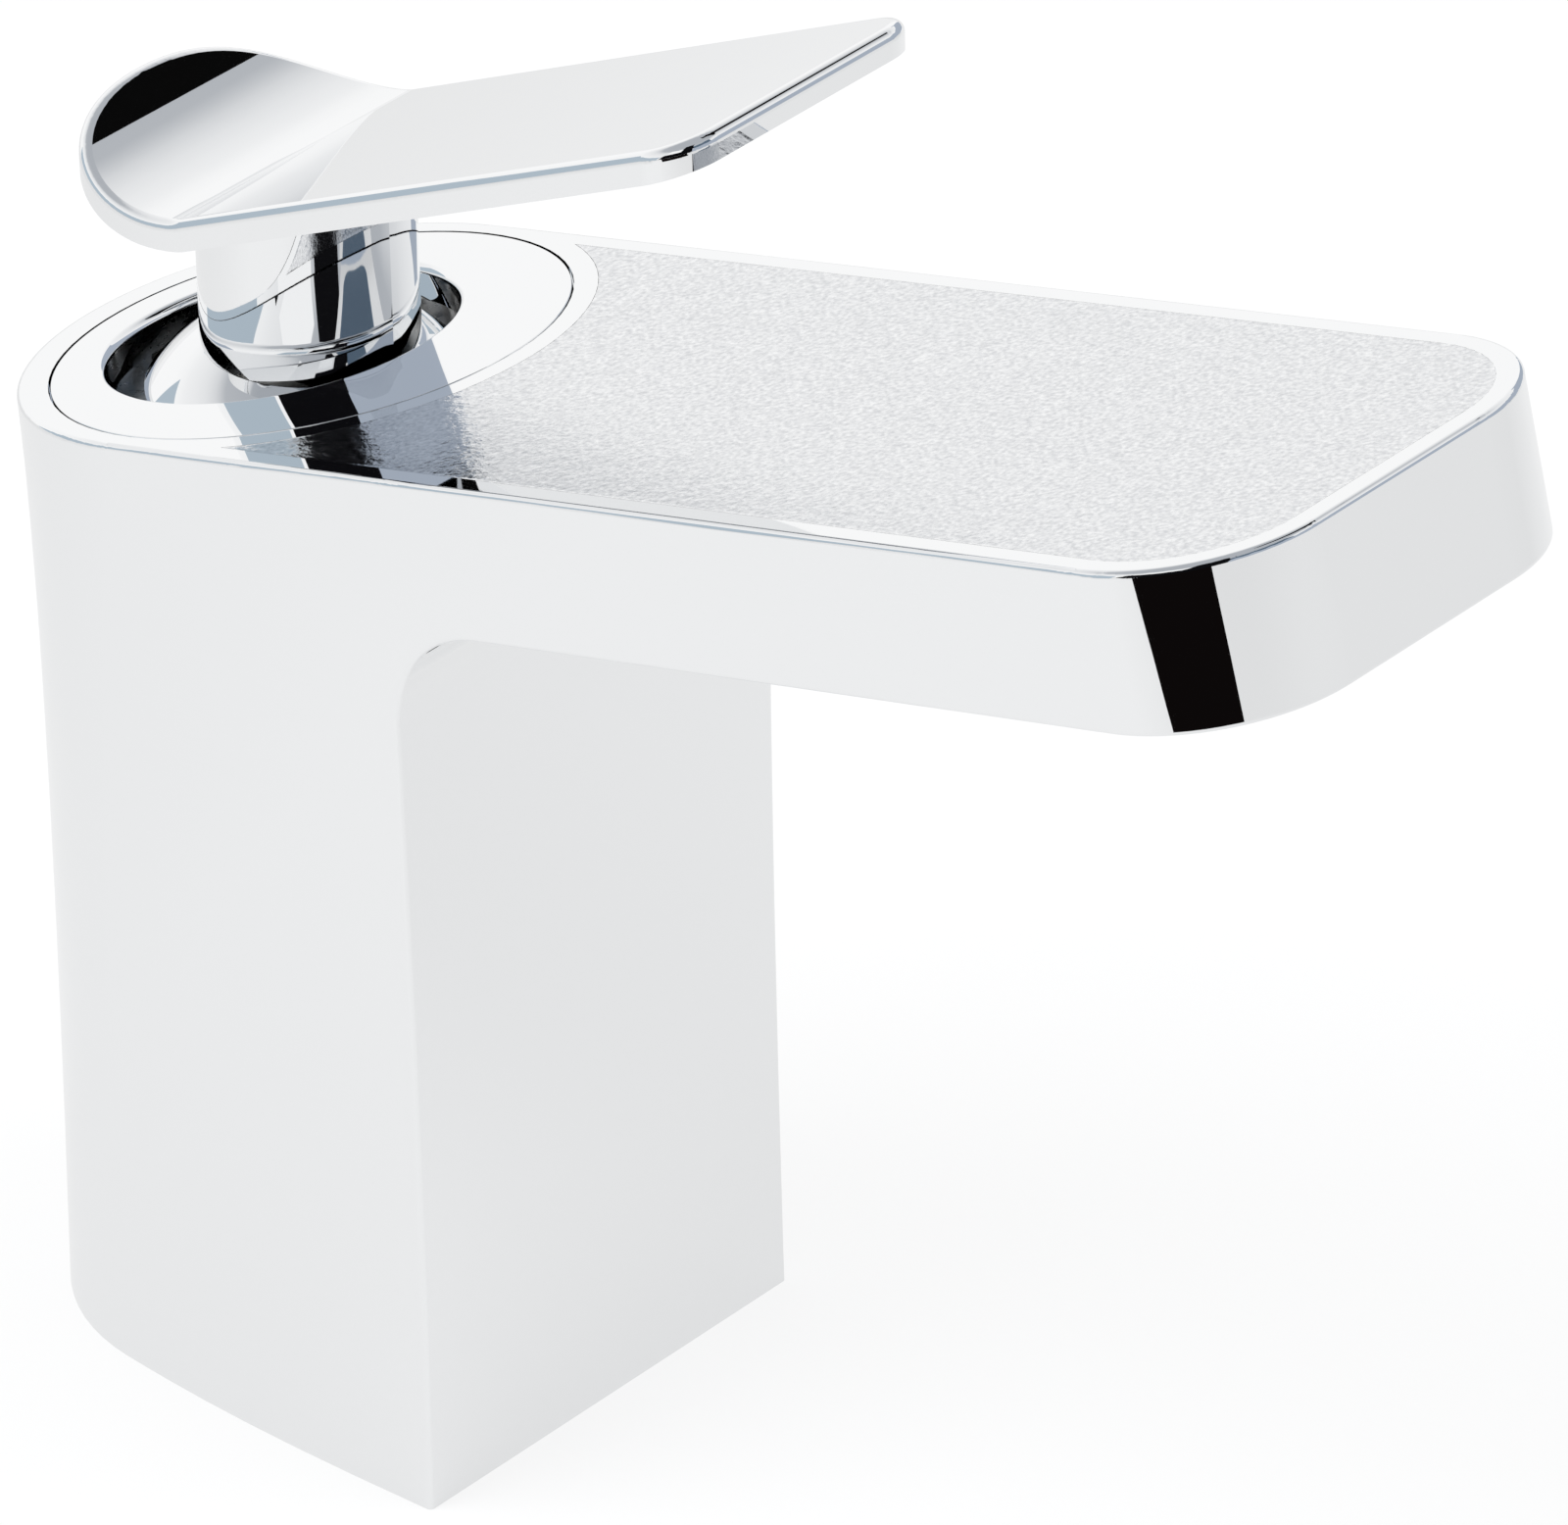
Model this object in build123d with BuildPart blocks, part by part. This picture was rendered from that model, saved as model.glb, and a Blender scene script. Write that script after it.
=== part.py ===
import os
from math import asin, cos, radians, sin, sqrt, tan

from build123d import *

os.makedirs("parts", exist_ok=True)

# Single-lever mixer tap, millimetres. +X is the spout direction, +Z is up,
# and the origin is the centre of the mounting hole on the base plane.

# Outside of the body
deck_tilt = 13.25
deck_height = 95.1
top_width = 50.0
top_rear_centre = -0.9
base_width = 47.5
base_rear_radius = 21.8
base_rear_centre = -3.9
base_rear_flat = 3.2
waist_height = 50.0
waist_draw = 0.35
front_face = 30.4
spout_length = 121.3
spout_corner = 14.0
spout_thickness = 14.1
under_tilt = 13.0
throat_radius = 12.0
edge_round = 0.5
under_round = 0.4

# Hollow base and its threaded holes
base_wall = 3.5
base_depth = 30.0
gasket_width = 1.5
gasket_height = 2.0
inlet_x = 3.4
inlet_spread = 13.0
inlet_thread = 10.0
inlet_pitch = 1.0
inlet_thread_depth = 12.0
stud_x = -10.0
stud_thread = 8.0
stud_pitch = 1.25
stud_thread_depth = 14.0
thread_share = 1.0825

# Top panel and cover ring
rim_width = 2.3
inlay_depth = 1.2
inlay_gap = 0.02
ring_radius = 22.7
ring_gap = 0.2
ring_shoulder = 2.1
ring_plate = 3.2
ring_hole = 15.4
ring_lip = 0.8
ring_skirt_gap = 0.3
ring_skirt_wall = 1.4
ring_skirt_height = 4.8
ring_groove_drop = 2.2
ring_groove_height = 2.0
ring_groove_depth = 0.7

# Cartridge, measured down from the deck along its own axis
pivot_depth = 14.9
nut_bore = 19.0
nut_gap = 0.2
nut_top = 9.2
nut_thread_height = 1.8
nut_hex = 30.0
nut_hex_height = 1.8
nut_inside = 11.3
bore_radius = 17.7
bore_depth = 41.0
cartridge_gap = 0.3
housing_wall = 2.8
housing_collar_height = 1.2
housing_collar_wall = 1.6
housing_roof = 4.9
window_width = 12.0
window_height = 5.0
window_drop = 11.2
window_count = 4
top_seal_drop = 1.2
top_seal_height = 2.0
top_seal_depth = 1.2
chamber_radius = 19.2
chamber_drop = 3.7
chamber_height = 14.5

# Moving inner pieces
running_gap = 0.25
turret_radius = 9.0
turret_top = 11.5
turret_flange = 2.1
turret_rail = 3.1
turret_slot = 11.2
turret_slot_gap = 0.3
guide_width = 16.0
guide_gap = 0.1
carrier_radius = 12.0
carrier_block = 3.1
carrier_plate = 1.8
disc_radius = 11.5
moving_disc_height = 3.6
disc_gap = 0.05
mixing_width = 19.0
mixing_depth = 1.8
mixing_land = 0.35
fixed_disc_height = 4.95
fixed_disc_radius = 13.5
disc_seat_depth = 2.0
spindle_size = 8.0
spindle_eye = 3.5
spindle_neck = 2.0
spindle_foot = 2.6
spindle_reach = 7.0
spindle_rise = 9.9
foot_gap = 0.15
pin_radius = 1.5
pin_gap = 0.05
pin_inset = 0.4
port_radius = 2.6
port_seal_wall = 1.7
port_seal_height = 1.2

# Lever
stem_radius = 9.5
dome_radius = 18.0
dome_wall = 1.0
dome_half_angle = 53.0
dome_collar_wall = 0.8
dome_collar_height = 3.0
dome_opening = 6.2
seat_gap = 0.05
lever_width = 31.0
lever_rear_start = -1.8
lever_rear_reach = 17.3
lever_rear_fullness = 0.69
lever_tip = 56.2
lever_tip_corner = 4.5
lever_rise = 17.46
lever_slope = 24.3
lever_thickness = 2.7
dish_radius = 19.9
dish_x = -6.6
dish_rise = 16.19
crease_radius = 6.0
lever_edge = 0.9
screw_rise = 7.2
screw_radius = 2.5
screw_length = 4.0
screw_key = 2.5
screw_key_depth = 2.0
plug_radius = 3.0

# Water way in the spout
passage_radius = 2.8
passage_low = 18.5
passage_low_reach = 14.0
passage_high = 7.5
passage_high_reach = 36.0
channel_width = 20.0
channel_top = 3.7
channel_bottom = 11.0
channel_start = 30.0
outlet_position = 104.0
aerator_radius = 11.7
aerator_gap = 0.1
aerator_wall = 1.9
aerator_lip = 1.2
aerator_height = 7.0
aerator_keys = 4
aerator_key_width = 3.0
aerator_seal_height = 1.0
screen_thickness = 1.2
screen_pitch = 3.2
screen_rows = 5
screen_hole = 1.3
insert_gap = 0.1
insert_holes = 8
insert_hole_radius = 1.4
insert_hole_circle = 6.4
insert_cup_radius = 8.5
insert_cup_depth = 1.3

wide = 400.0
tilt = radians(deck_tilt)
under_slope = radians(under_tilt)
slope = radians(lever_slope)
hole_offset = pivot_depth * tan(tilt)
pivot_height = deck_height - pivot_depth / cos(tilt)
spindle_top = deck_height + spindle_rise
screw_height = deck_height + screw_rise
lever_height = deck_height + lever_rise
deck = Plane(origin=(0, 0, deck_height), x_dir=(cos(tilt), 0, sin(tilt)), z_dir=(-sin(tilt), 0, cos(tilt)))
core = deck.shift_origin(deck.from_local_coords(Vector(-hole_offset, 0, 0)))

# Depths under the deck that follow from the stack of pieces
skirt_bottom = ring_plate + ring_skirt_height
nut_bottom = nut_top + nut_hex_height + nut_thread_height
roof_bottom = nut_bottom + housing_roof
flange_top = roof_bottom + disc_gap
flange_bottom = flange_top + turret_flange
rail_bottom = flange_bottom + turret_rail
carrier_top = flange_bottom + running_gap
block_bottom = carrier_top + carrier_block
carrier_bottom = block_bottom + carrier_plate
moving_bottom = carrier_bottom + moving_disc_height
fixed_top = moving_bottom + disc_gap
fixed_bottom = fixed_top + fixed_disc_height
housing_bottom = fixed_bottom - disc_seat_depth
window_top = nut_bottom + window_drop
chamber_top = nut_bottom + chamber_drop
top_seal_top = nut_bottom + top_seal_drop

# Radii that follow from what each piece fits into
cartridge_radius = bore_radius - cartridge_gap
housing_inside = cartridge_radius - housing_wall
flange_radius = housing_inside - running_gap
skirt_radius = nut_bore - ring_skirt_gap
aerator_inside = aerator_radius - aerator_wall
inlet_wall = (inlet_thread - thread_share * inlet_pitch) / 2
stud_wall = (stud_thread - thread_share * stud_pitch) / 2
socket_half = spindle_size / 2 + seat_gap


def down(depth):
    # The plane across the cartridge at this depth under the deck.
    return core.offset(-depth)


def under_deck(depth):
    # The same depth, centred on the deck's own origin.
    return deck.offset(-depth)


def plate(plane, radius, thickness, mode=Mode.ADD):
    # A round plate or cut that starts on the plane and goes down from it.
    with BuildSketch(plane) as shape:
        Circle(radius)
    extrude(shape.sketch, amount=-thickness, mode=mode)


def ring(plane, outside, inside, thickness):
    # A flat washer that hangs down from the plane.
    with BuildSketch(plane) as shape:
        Circle(outside)
        Circle(inside, mode=Mode.SUBTRACT)
    extrude(shape.sketch, amount=-thickness)


def finish(piece, name):
    piece.part.label = name
    export_step(piece.part, f"parts/{name}.step")


def outline(plane, rear_radius, rear_centre, rear_flat, half_width, front, end):
    # Round back, two sides that swell to the front face, and the square spout end with round corners.
    side_x = rear_centre - rear_flat
    side_y = sqrt(rear_radius**2 - rear_flat**2)
    third = (front - side_x) / 3
    lift = third * rear_flat / side_y
    corner_x = end - spout_corner
    corner_y = half_width - spout_corner
    bulge = spout_corner * sqrt(0.5)
    with BuildSketch(plane) as shape:
        with BuildLine():
            ThreePointArc((side_x, -side_y), (rear_centre - rear_radius, 0), (side_x, side_y))
            Bezier((side_x, side_y), (side_x + third, side_y + lift), (front - third, half_width), (front, half_width))
            Line((front, half_width), (corner_x, half_width))
            ThreePointArc((corner_x, half_width), (corner_x + bulge, corner_y + bulge), (end, corner_y))
            Line((end, corner_y), (end, -corner_y))
            ThreePointArc((end, -corner_y), (corner_x + bulge, -corner_y - bulge), (corner_x, -half_width))
            Line((corner_x, -half_width), (front, -half_width))
            Bezier(
                (front, -half_width), (front - third, -half_width), (side_x + third, -side_y - lift), (side_x, -side_y)
            )
        make_face()
    return shape.sketch


# Outer form of the body: three outlines from the base to the sloping deck, joined smoothly
spout_end_at_base = spout_length * cos(tilt) + (deck_height + spout_length * sin(tilt)) * tan(tilt)
spout_end_at_waist = spout_end_at_base - waist_height * tan(tilt)
waist_radius = base_rear_radius - waist_draw
half_base = base_width / 2
half_top = top_width / 2
base_plane = Plane.XY
waist_plane = Plane.XY.offset(waist_height)
base_outline = outline(
    base_plane, base_rear_radius, base_rear_centre, base_rear_flat, half_base, front_face, spout_end_at_base
)
waist_outline = outline(
    waist_plane, waist_radius, base_rear_centre, base_rear_flat, half_base, front_face, spout_end_at_waist
)
deck_outline = outline(deck, half_top, top_rear_centre, 0, half_top, front_face / cos(tilt), spout_length)

# What is cut away below the spout and in front of the column. The outlet lies on this underside.
throat_height = deck_height + front_face * tan(tilt) - spout_thickness / cos(tilt)
underside = Plane(
    origin=(front_face, 0, throat_height),
    x_dir=(cos(under_slope), 0, sin(under_slope)),
    z_dir=(-sin(under_slope), 0, cos(under_slope)),
)
outlet = underside.shift_origin(underside.from_local_coords(Vector(outlet_position - front_face / cos(tilt), 0, 0)))
outlet_depth = aerator_height + aerator_seal_height
with BuildSketch(Plane.XZ) as below_spout:
    with BuildLine():
        Polyline(
            (front_face, -wide),
            (front_face, throat_height),
            (front_face + wide, throat_height + wide * tan(under_slope)),
            (front_face + wide, -wide),
            close=True,
        )
    make_face()
    throat = below_spout.vertices().filter_by(lambda v: abs(v.X - front_face) < 0.01 and v.Y > 0)
    fillet(throat, throat_radius)


def borders_throat(edge):
    # True for the outer edges of the column's front, the throat curve and the underside of the spout.
    middle = edge @ 0.5
    ends_apart = abs((edge @ 0).Y - (edge @ 1).Y) > half_base
    on_profile = below_spout.sketch.faces()[0].distance_to(Vector(middle.X, 0, middle.Z)) < 0.01
    straight_across = ends_apart and middle.X < spout_length / 2
    return on_profile and middle.Z > edge_round and not straight_across


def base_area(inset):
    # The footprint of the column, drawn in by an even margin.
    share = (base_rear_radius - inset) / base_rear_radius
    with BuildSketch() as shape:
        add(
            outline(
                base_plane,
                base_rear_radius * share,
                base_rear_centre,
                base_rear_flat * share,
                half_base - inset,
                front_face,
                spout_end_at_base,
            )
        )
        with Locations((front_face - inset + wide / 2, 0)):
            Rectangle(wide, wide, mode=Mode.SUBTRACT)
    return shape.sketch


def inlay_area(gap):
    # The textured panel: straight sides, round front corners and a rear edge that follows the ring.
    length = spout_length - rim_width - gap
    with BuildSketch(deck) as shape:
        with Locations((length / 2, 0)):
            Rectangle(length, top_width - 2 * rim_width - 2 * gap)
        fillet(shape.vertices().group_by(Axis.X)[-1], spout_corner - rim_width - gap)
        Circle(ring_radius + ring_gap + ring_shoulder + gap, mode=Mode.SUBTRACT)
    return shape.sketch


# Places of the water ways
passage_start = deck.from_local_coords(Vector(passage_low_reach, 0, -passage_low))
passage_end = deck.from_local_coords(Vector(passage_high_reach, 0, -passage_high))
passage_run = passage_end - passage_start
channel_end = outlet_position + aerator_inside / 2
inlet_places = [(inlet_x, -inlet_spread / 2), (inlet_x, inlet_spread / 2)]
floor_height = deck_height + (inlet_x * sin(tilt) - bore_depth) / cos(tilt)
port_x = core.to_local_coords(Vector(inlet_x, 0, floor_height)).X
port_places = [(port_x, -inlet_spread / 2), (port_x, inlet_spread / 2)]

with BuildPart() as body_casting:
    loft(sections=[base_outline, waist_outline, deck_outline])
    extrude(below_spout.sketch, amount=wide / 2, both=True, mode=Mode.SUBTRACT)
    top_face = body_casting.faces().sort_by(Axis(deck.origin, deck.z_dir))[-1]
    fillet(top_face.outer_wire().edges(), edge_round)
    fillet(body_casting.edges().filter_by(borders_throat), under_round)

    # Seats of the cover ring and the textured panel
    plate(deck, ring_radius + ring_gap, ring_plate, Mode.SUBTRACT)
    extrude(inlay_area(0), amount=-inlay_depth, mode=Mode.SUBTRACT)

    # Bores of the cartridge, with the ring-shaped water chamber round it
    plate(core, nut_bore, nut_bottom, Mode.SUBTRACT)
    plate(core, bore_radius, bore_depth, Mode.SUBTRACT)
    plate(down(chamber_top), chamber_radius, chamber_height, Mode.SUBTRACT)

    # Slanted hole, flat channel and outlet bore
    with BuildSketch(Plane(origin=passage_start, z_dir=passage_run)):
        Circle(passage_radius)
    extrude(amount=passage_run.length, mode=Mode.SUBTRACT)
    with BuildSketch(under_deck(channel_top)):
        with Locations(((channel_start + channel_end) / 2, 0)):
            RectangleRounded(channel_end - channel_start, channel_width, channel_width / 4)
    extrude(amount=channel_top - channel_bottom, mode=Mode.SUBTRACT)
    plate(outlet.offset(outlet_depth), aerator_radius + aerator_gap, outlet_depth, Mode.SUBTRACT)

    # Hollow base with its gasket step, threaded inlets that rise to the cartridge, and the stud hole
    extrude(base_area(base_wall), amount=base_depth, mode=Mode.SUBTRACT)
    extrude(base_area(base_wall - gasket_width), amount=gasket_height, mode=Mode.SUBTRACT)
    with BuildSketch(Plane.XY.offset(base_depth)):
        with Locations(inlet_places):
            Circle(inlet_wall)
    extrude(amount=inlet_thread_depth, mode=Mode.SUBTRACT)
    with BuildSketch(Plane.XY.offset(base_depth)):
        with Locations(inlet_places):
            Circle(port_radius)
    extrude(amount=floor_height - base_depth + port_radius, mode=Mode.SUBTRACT)
    with BuildSketch(Plane.XY.offset(base_depth)):
        with Locations((stud_x, 0)):
            Circle(stud_wall)
    extrude(amount=stud_thread_depth, mode=Mode.SUBTRACT)
finish(body_casting, "body_casting")

with BuildPart() as base_seal:
    extrude(base_area(base_wall - gasket_width), amount=gasket_height)
    extrude(base_area(base_wall), amount=gasket_height, mode=Mode.SUBTRACT)
finish(base_seal, "base_seal")

with BuildPart() as textured_inlay:
    extrude(inlay_area(inlay_gap), amount=-inlay_depth)
finish(textured_inlay, "textured_inlay")

with BuildPart() as cover_ring:
    plate(deck, ring_radius, ring_plate)
    plate(down(ring_plate), skirt_radius, ring_skirt_height)
    plate(down(ring_plate), skirt_radius - ring_skirt_wall, ring_skirt_height, Mode.SUBTRACT)
    plate(core, ring_hole, ring_plate, Mode.SUBTRACT)
    lip = cover_ring.edges().filter_by(GeomType.CIRCLE).filter_by(lambda e: abs(e.radius - ring_hole) < 0.01)
    chamfer(lip.sort_by(Axis(core.origin, core.z_dir))[-1], ring_lip)
    with BuildSketch(down(ring_plate + ring_groove_drop)):
        Circle(nut_bore)
        Circle(skirt_radius - ring_groove_depth, mode=Mode.SUBTRACT)
    extrude(amount=-ring_groove_height, mode=Mode.SUBTRACT)
finish(cover_ring, "cover_ring")

with BuildPart() as ring_seal:
    ring(down(ring_plate + ring_groove_drop), nut_bore, skirt_radius - ring_groove_depth, ring_groove_height)
finish(ring_seal, "ring_seal")

with BuildPart() as cartridge_nut:
    with BuildSketch(down(nut_top)):
        RegularPolygon(radius=nut_hex / 2, side_count=6, major_radius=False)
    extrude(amount=-nut_hex_height)
    plate(down(nut_top + nut_hex_height), nut_bore - nut_gap, nut_thread_height)
    plate(down(nut_top), nut_inside, nut_bottom - nut_top, Mode.SUBTRACT)
finish(cartridge_nut, "cartridge_nut")

with BuildPart() as cartridge_housing:
    plate(down(nut_bottom), cartridge_radius, housing_bottom - nut_bottom)
    collar_radius = turret_radius + running_gap + housing_collar_wall
    plate(down(nut_bottom - housing_collar_height), collar_radius, housing_collar_height)
    plate(down(roof_bottom), housing_inside, housing_bottom - roof_bottom, Mode.SUBTRACT)
    plate(core, turret_radius + running_gap, roof_bottom, Mode.SUBTRACT)
    with BuildSketch(down(top_seal_top)):
        Circle(bore_radius)
        Circle(cartridge_radius - top_seal_depth, mode=Mode.SUBTRACT)
    extrude(amount=-top_seal_height, mode=Mode.SUBTRACT)
    with BuildSketch(down(window_top)):
        with PolarLocations(cartridge_radius, window_count):
            Rectangle(3 * housing_wall, window_width)
    extrude(amount=-window_height, mode=Mode.SUBTRACT)
finish(cartridge_housing, "cartridge_housing")

with BuildPart() as cartridge_top_seal:
    ring(down(top_seal_top), bore_radius, cartridge_radius - top_seal_depth, top_seal_height)
finish(cartridge_top_seal, "cartridge_top_seal")

with BuildPart() as cartridge_base:
    plate(down(housing_bottom), cartridge_radius, bore_depth - housing_bottom)
    plate(down(housing_bottom), fixed_disc_radius + seat_gap, disc_seat_depth, Mode.SUBTRACT)
    with BuildSketch(down(fixed_bottom)):
        with Locations(port_places):
            Circle(port_radius)
    extrude(amount=fixed_bottom - bore_depth, mode=Mode.SUBTRACT)
    with BuildSketch(down(bore_depth)):
        with Locations(port_places):
            Circle(port_radius + port_seal_wall)
    extrude(amount=port_seal_height, mode=Mode.SUBTRACT)
finish(cartridge_base, "cartridge_base")

with BuildPart() as port_seals:
    with BuildSketch(down(bore_depth)):
        with Locations(port_places):
            Circle(port_radius + port_seal_wall)
            Circle(port_radius, mode=Mode.SUBTRACT)
    extrude(amount=port_seal_height)
finish(port_seals, "port_seals")

with BuildPart() as fixed_disc:
    plate(down(fixed_top), fixed_disc_radius, fixed_disc_height)
    with BuildSketch(down(fixed_top)):
        with Locations(port_places):
            Circle(port_radius)
    extrude(amount=-fixed_disc_height, mode=Mode.SUBTRACT)
finish(fixed_disc, "fixed_disc")

# At rest the stem stands upright, so the spindle's foot has drawn the carrier towards the back
rest_shift = -spindle_reach * sin(tilt)


def slid(depth):
    plane = down(depth)
    return plane.shift_origin(plane.from_local_coords(Vector(rest_shift, 0, 0)))


with BuildPart() as moving_disc:
    plate(slid(carrier_bottom), disc_radius, moving_disc_height)
    mixing_front = port_x - port_radius - mixing_land - rest_shift
    with BuildSketch(slid(moving_bottom)):
        with Locations((mixing_front - disc_radius, 0)):
            Rectangle(2 * disc_radius, mixing_width)
    extrude(amount=mixing_depth, mode=Mode.SUBTRACT)
finish(moving_disc, "moving_disc")

with BuildPart() as disc_carrier:
    with BuildSketch(slid(carrier_top)):
        Circle(carrier_radius)
        Rectangle(wide, guide_width, mode=Mode.INTERSECT)
    extrude(amount=-carrier_block)
    plate(slid(block_bottom), carrier_radius, carrier_plate)
    plate(slid(carrier_top), spindle_foot + foot_gap, carrier_bottom - carrier_top, Mode.SUBTRACT)
finish(disc_carrier, "disc_carrier")

with BuildPart() as turret:
    plate(down(turret_top), turret_radius, flange_bottom - turret_top)
    plate(down(flange_top), flange_radius, turret_flange)
    with BuildSketch(down(flange_bottom)):
        Circle(flange_radius)
        Rectangle(wide, guide_width + 2 * guide_gap, mode=Mode.SUBTRACT)
    extrude(amount=-turret_rail)
    with BuildSketch(down(turret_top)):
        Rectangle(turret_slot, spindle_size + 2 * turret_slot_gap)
    extrude(amount=turret_top - flange_bottom, mode=Mode.SUBTRACT)
    with BuildSketch(Plane.XZ):
        with Locations((0, pivot_height)):
            Circle(pin_radius)
    extrude(amount=turret_radius, both=True, mode=Mode.SUBTRACT)
finish(turret, "turret")

with BuildPart() as spindle_pin:
    with BuildSketch(Plane.XZ):
        with Locations((0, pivot_height)):
            Circle(pin_radius)
    extrude(amount=turret_radius - pin_inset, both=True)
finish(spindle_pin, "spindle_pin")

with BuildPart() as spindle:
    with BuildSketch(Plane.XY.offset(pivot_height - spindle_eye)):
        Rectangle(spindle_size, spindle_size)
    extrude(amount=spindle_top - pivot_height + spindle_eye)
    chamfer(spindle.faces().sort_by(Axis.Z)[-1].edges(), spindle_size / 10)
    with BuildSketch(Plane.XY.offset(pivot_height - spindle_eye)):
        Circle(spindle_neck)
    extrude(amount=spindle_eye - spindle_reach)
    with Locations((0, 0, pivot_height - spindle_reach)):
        Sphere(spindle_foot)
    with BuildSketch(Plane.XZ):
        with Locations((0, pivot_height)):
            Circle(pin_radius + pin_gap)
    extrude(amount=spindle_size, both=True, mode=Mode.SUBTRACT)
finish(spindle, "spindle")

# The lever turns a round cap under its stem, which closes the hole in the cover ring
collar_outside = dome_opening + dome_collar_wall
dome_inside = dome_radius - dome_wall
half_angle = radians(dome_half_angle)


def on_dome(radius, angle):
    return (radius * sin(angle), pivot_height + radius * cos(angle))


collar_foot = pivot_height + sqrt(dome_radius**2 - collar_outside**2)
collar_top = collar_foot + dome_collar_height
inner_start = asin(dome_opening / dome_inside)
outer_start = asin(collar_outside / dome_radius)
with BuildPart() as dome_shroud:
    with BuildSketch(Plane.XZ):
        with BuildLine():
            Line(on_dome(dome_inside, inner_start), (dome_opening, collar_top))
            Line((dome_opening, collar_top), (collar_outside, collar_top))
            Line((collar_outside, collar_top), (collar_outside, collar_foot))
            ThreePointArc(
                (collar_outside, collar_foot),
                on_dome(dome_radius, (outer_start + half_angle) / 2),
                on_dome(dome_radius, half_angle),
            )
            Line(on_dome(dome_radius, half_angle), on_dome(dome_inside, half_angle))
            Line(on_dome(dome_inside, half_angle), on_dome(dome_inside, inner_start))
        make_face()
    revolve(axis=Axis.Z)
finish(dome_shroud, "dome_shroud")

# Lever: a flat blade that rises to the front, and a hollow dish that curls up at the back.
# Along the blade's own line, each surface of the plate ends where it meets the dish's arc.
dish_z = deck_height + dish_rise + dish_radius
dish_along = dish_x * cos(slope) + (dish_z - lever_height) * sin(slope)
dish_above = (dish_z - lever_height) * cos(slope) - dish_x * sin(slope)


def on_blade(along, under):
    return (along * cos(slope) + under * sin(slope), lever_height + along * sin(slope) - under * cos(slope))


def on_dish(x, under):
    return (x, dish_z - sqrt((dish_radius + under) ** 2 - (x - dish_x) ** 2))


def crease(under):
    return on_blade(dish_along - sqrt((dish_radius + under) ** 2 - (dish_above + under) ** 2), under)


blade_end = lever_tip / cos(slope) + lever_thickness
dish_end = dish_x - 0.9 * dish_radius
lever_rear = lever_rear_start - lever_rear_reach
half_lever = lever_width / 2
rear_handle = lever_rear_start - lever_rear_fullness * lever_rear_reach
side_handle = lever_rear_fullness * half_lever
with BuildPart() as lever:
    with BuildSketch(Plane.XZ) as lever_side:
        with BuildLine():
            Line(on_blade(blade_end, 0), crease(0))
            ThreePointArc(crease(0), on_dish(dish_x - 1, 0), on_dish(dish_end, 0))
            Line(on_dish(dish_end, 0), on_dish(dish_end, lever_thickness))
            ThreePointArc(
                on_dish(dish_end, lever_thickness), on_dish(dish_x - 1, lever_thickness), crease(lever_thickness)
            )
            Line(crease(lever_thickness), on_blade(blade_end, lever_thickness))
            Line(on_blade(blade_end, lever_thickness), on_blade(blade_end, 0))
        make_face()
        creases = lever_side.vertices().filter_by(
            lambda v: min(abs(v.X - crease(0)[0]), abs(v.X - crease(lever_thickness)[0])) < 0.01
        )
        fillet(creases, crease_radius)
    extrude(amount=lever_width, both=True)
    with BuildSketch(Plane.XY.offset(spindle_top)) as lever_plan:
        with BuildLine():
            Bezier(
                (lever_rear_start, half_lever), (rear_handle, half_lever), (lever_rear, side_handle), (lever_rear, 0)
            )
            Bezier(
                (lever_rear, 0), (lever_rear, -side_handle), (rear_handle, -half_lever), (lever_rear_start, -half_lever)
            )
            Polyline(
                (lever_rear_start, -half_lever),
                (lever_tip, -half_lever),
                (lever_tip, half_lever),
                (lever_rear_start, half_lever),
            )
        make_face()
        fillet(lever_plan.vertices().group_by(Axis.X)[-1], lever_tip_corner)
    extrude(amount=wide / 4, mode=Mode.INTERSECT)

    def on_top(edge):
        middle = edge @ 0.5
        x = middle.X * cos(slope) + (middle.Z - lever_height) * sin(slope)
        above = (middle.Z - lever_height) * cos(slope) - middle.X * sin(slope)
        across = abs(middle.Y) > 0.01 or x > dish_along
        return abs(above) < 0.01 and across and x > 0 and edge.length > lever_edge

    fillet(lever.edges().filter_by(on_top), lever_edge)

    # Stem, its seat on the cap, and the sockets for collar, spindle and screw
    with BuildSketch(Plane.XY.offset(pivot_height)):
        Circle(stem_radius)
    stem_top = on_dish(dish_x, lever_thickness)[1] + lever_thickness / 2
    extrude(amount=stem_top - pivot_height)
    with Locations((0, 0, pivot_height)):
        Sphere(dome_radius + seat_gap, mode=Mode.SUBTRACT)
    with BuildSketch(Plane.XY.offset(pivot_height)):
        Circle(collar_outside + seat_gap)
    extrude(amount=collar_top + seat_gap - pivot_height, mode=Mode.SUBTRACT)
    with BuildSketch(Plane.XY.offset(pivot_height)):
        Rectangle(2 * socket_half, 2 * socket_half)
    extrude(amount=spindle_top + seat_gap - pivot_height, mode=Mode.SUBTRACT)
    with BuildSketch(Plane.YZ):
        with Locations((0, screw_height)):
            Circle(screw_radius + seat_gap)
    extrude(amount=-stem_radius, mode=Mode.SUBTRACT)
    with BuildSketch(Plane.YZ.offset(-spindle_size / 2 - screw_length)):
        with Locations((0, screw_height)):
            Circle(plug_radius + seat_gap)
    extrude(amount=-stem_radius, mode=Mode.SUBTRACT)
finish(lever, "lever")

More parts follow.
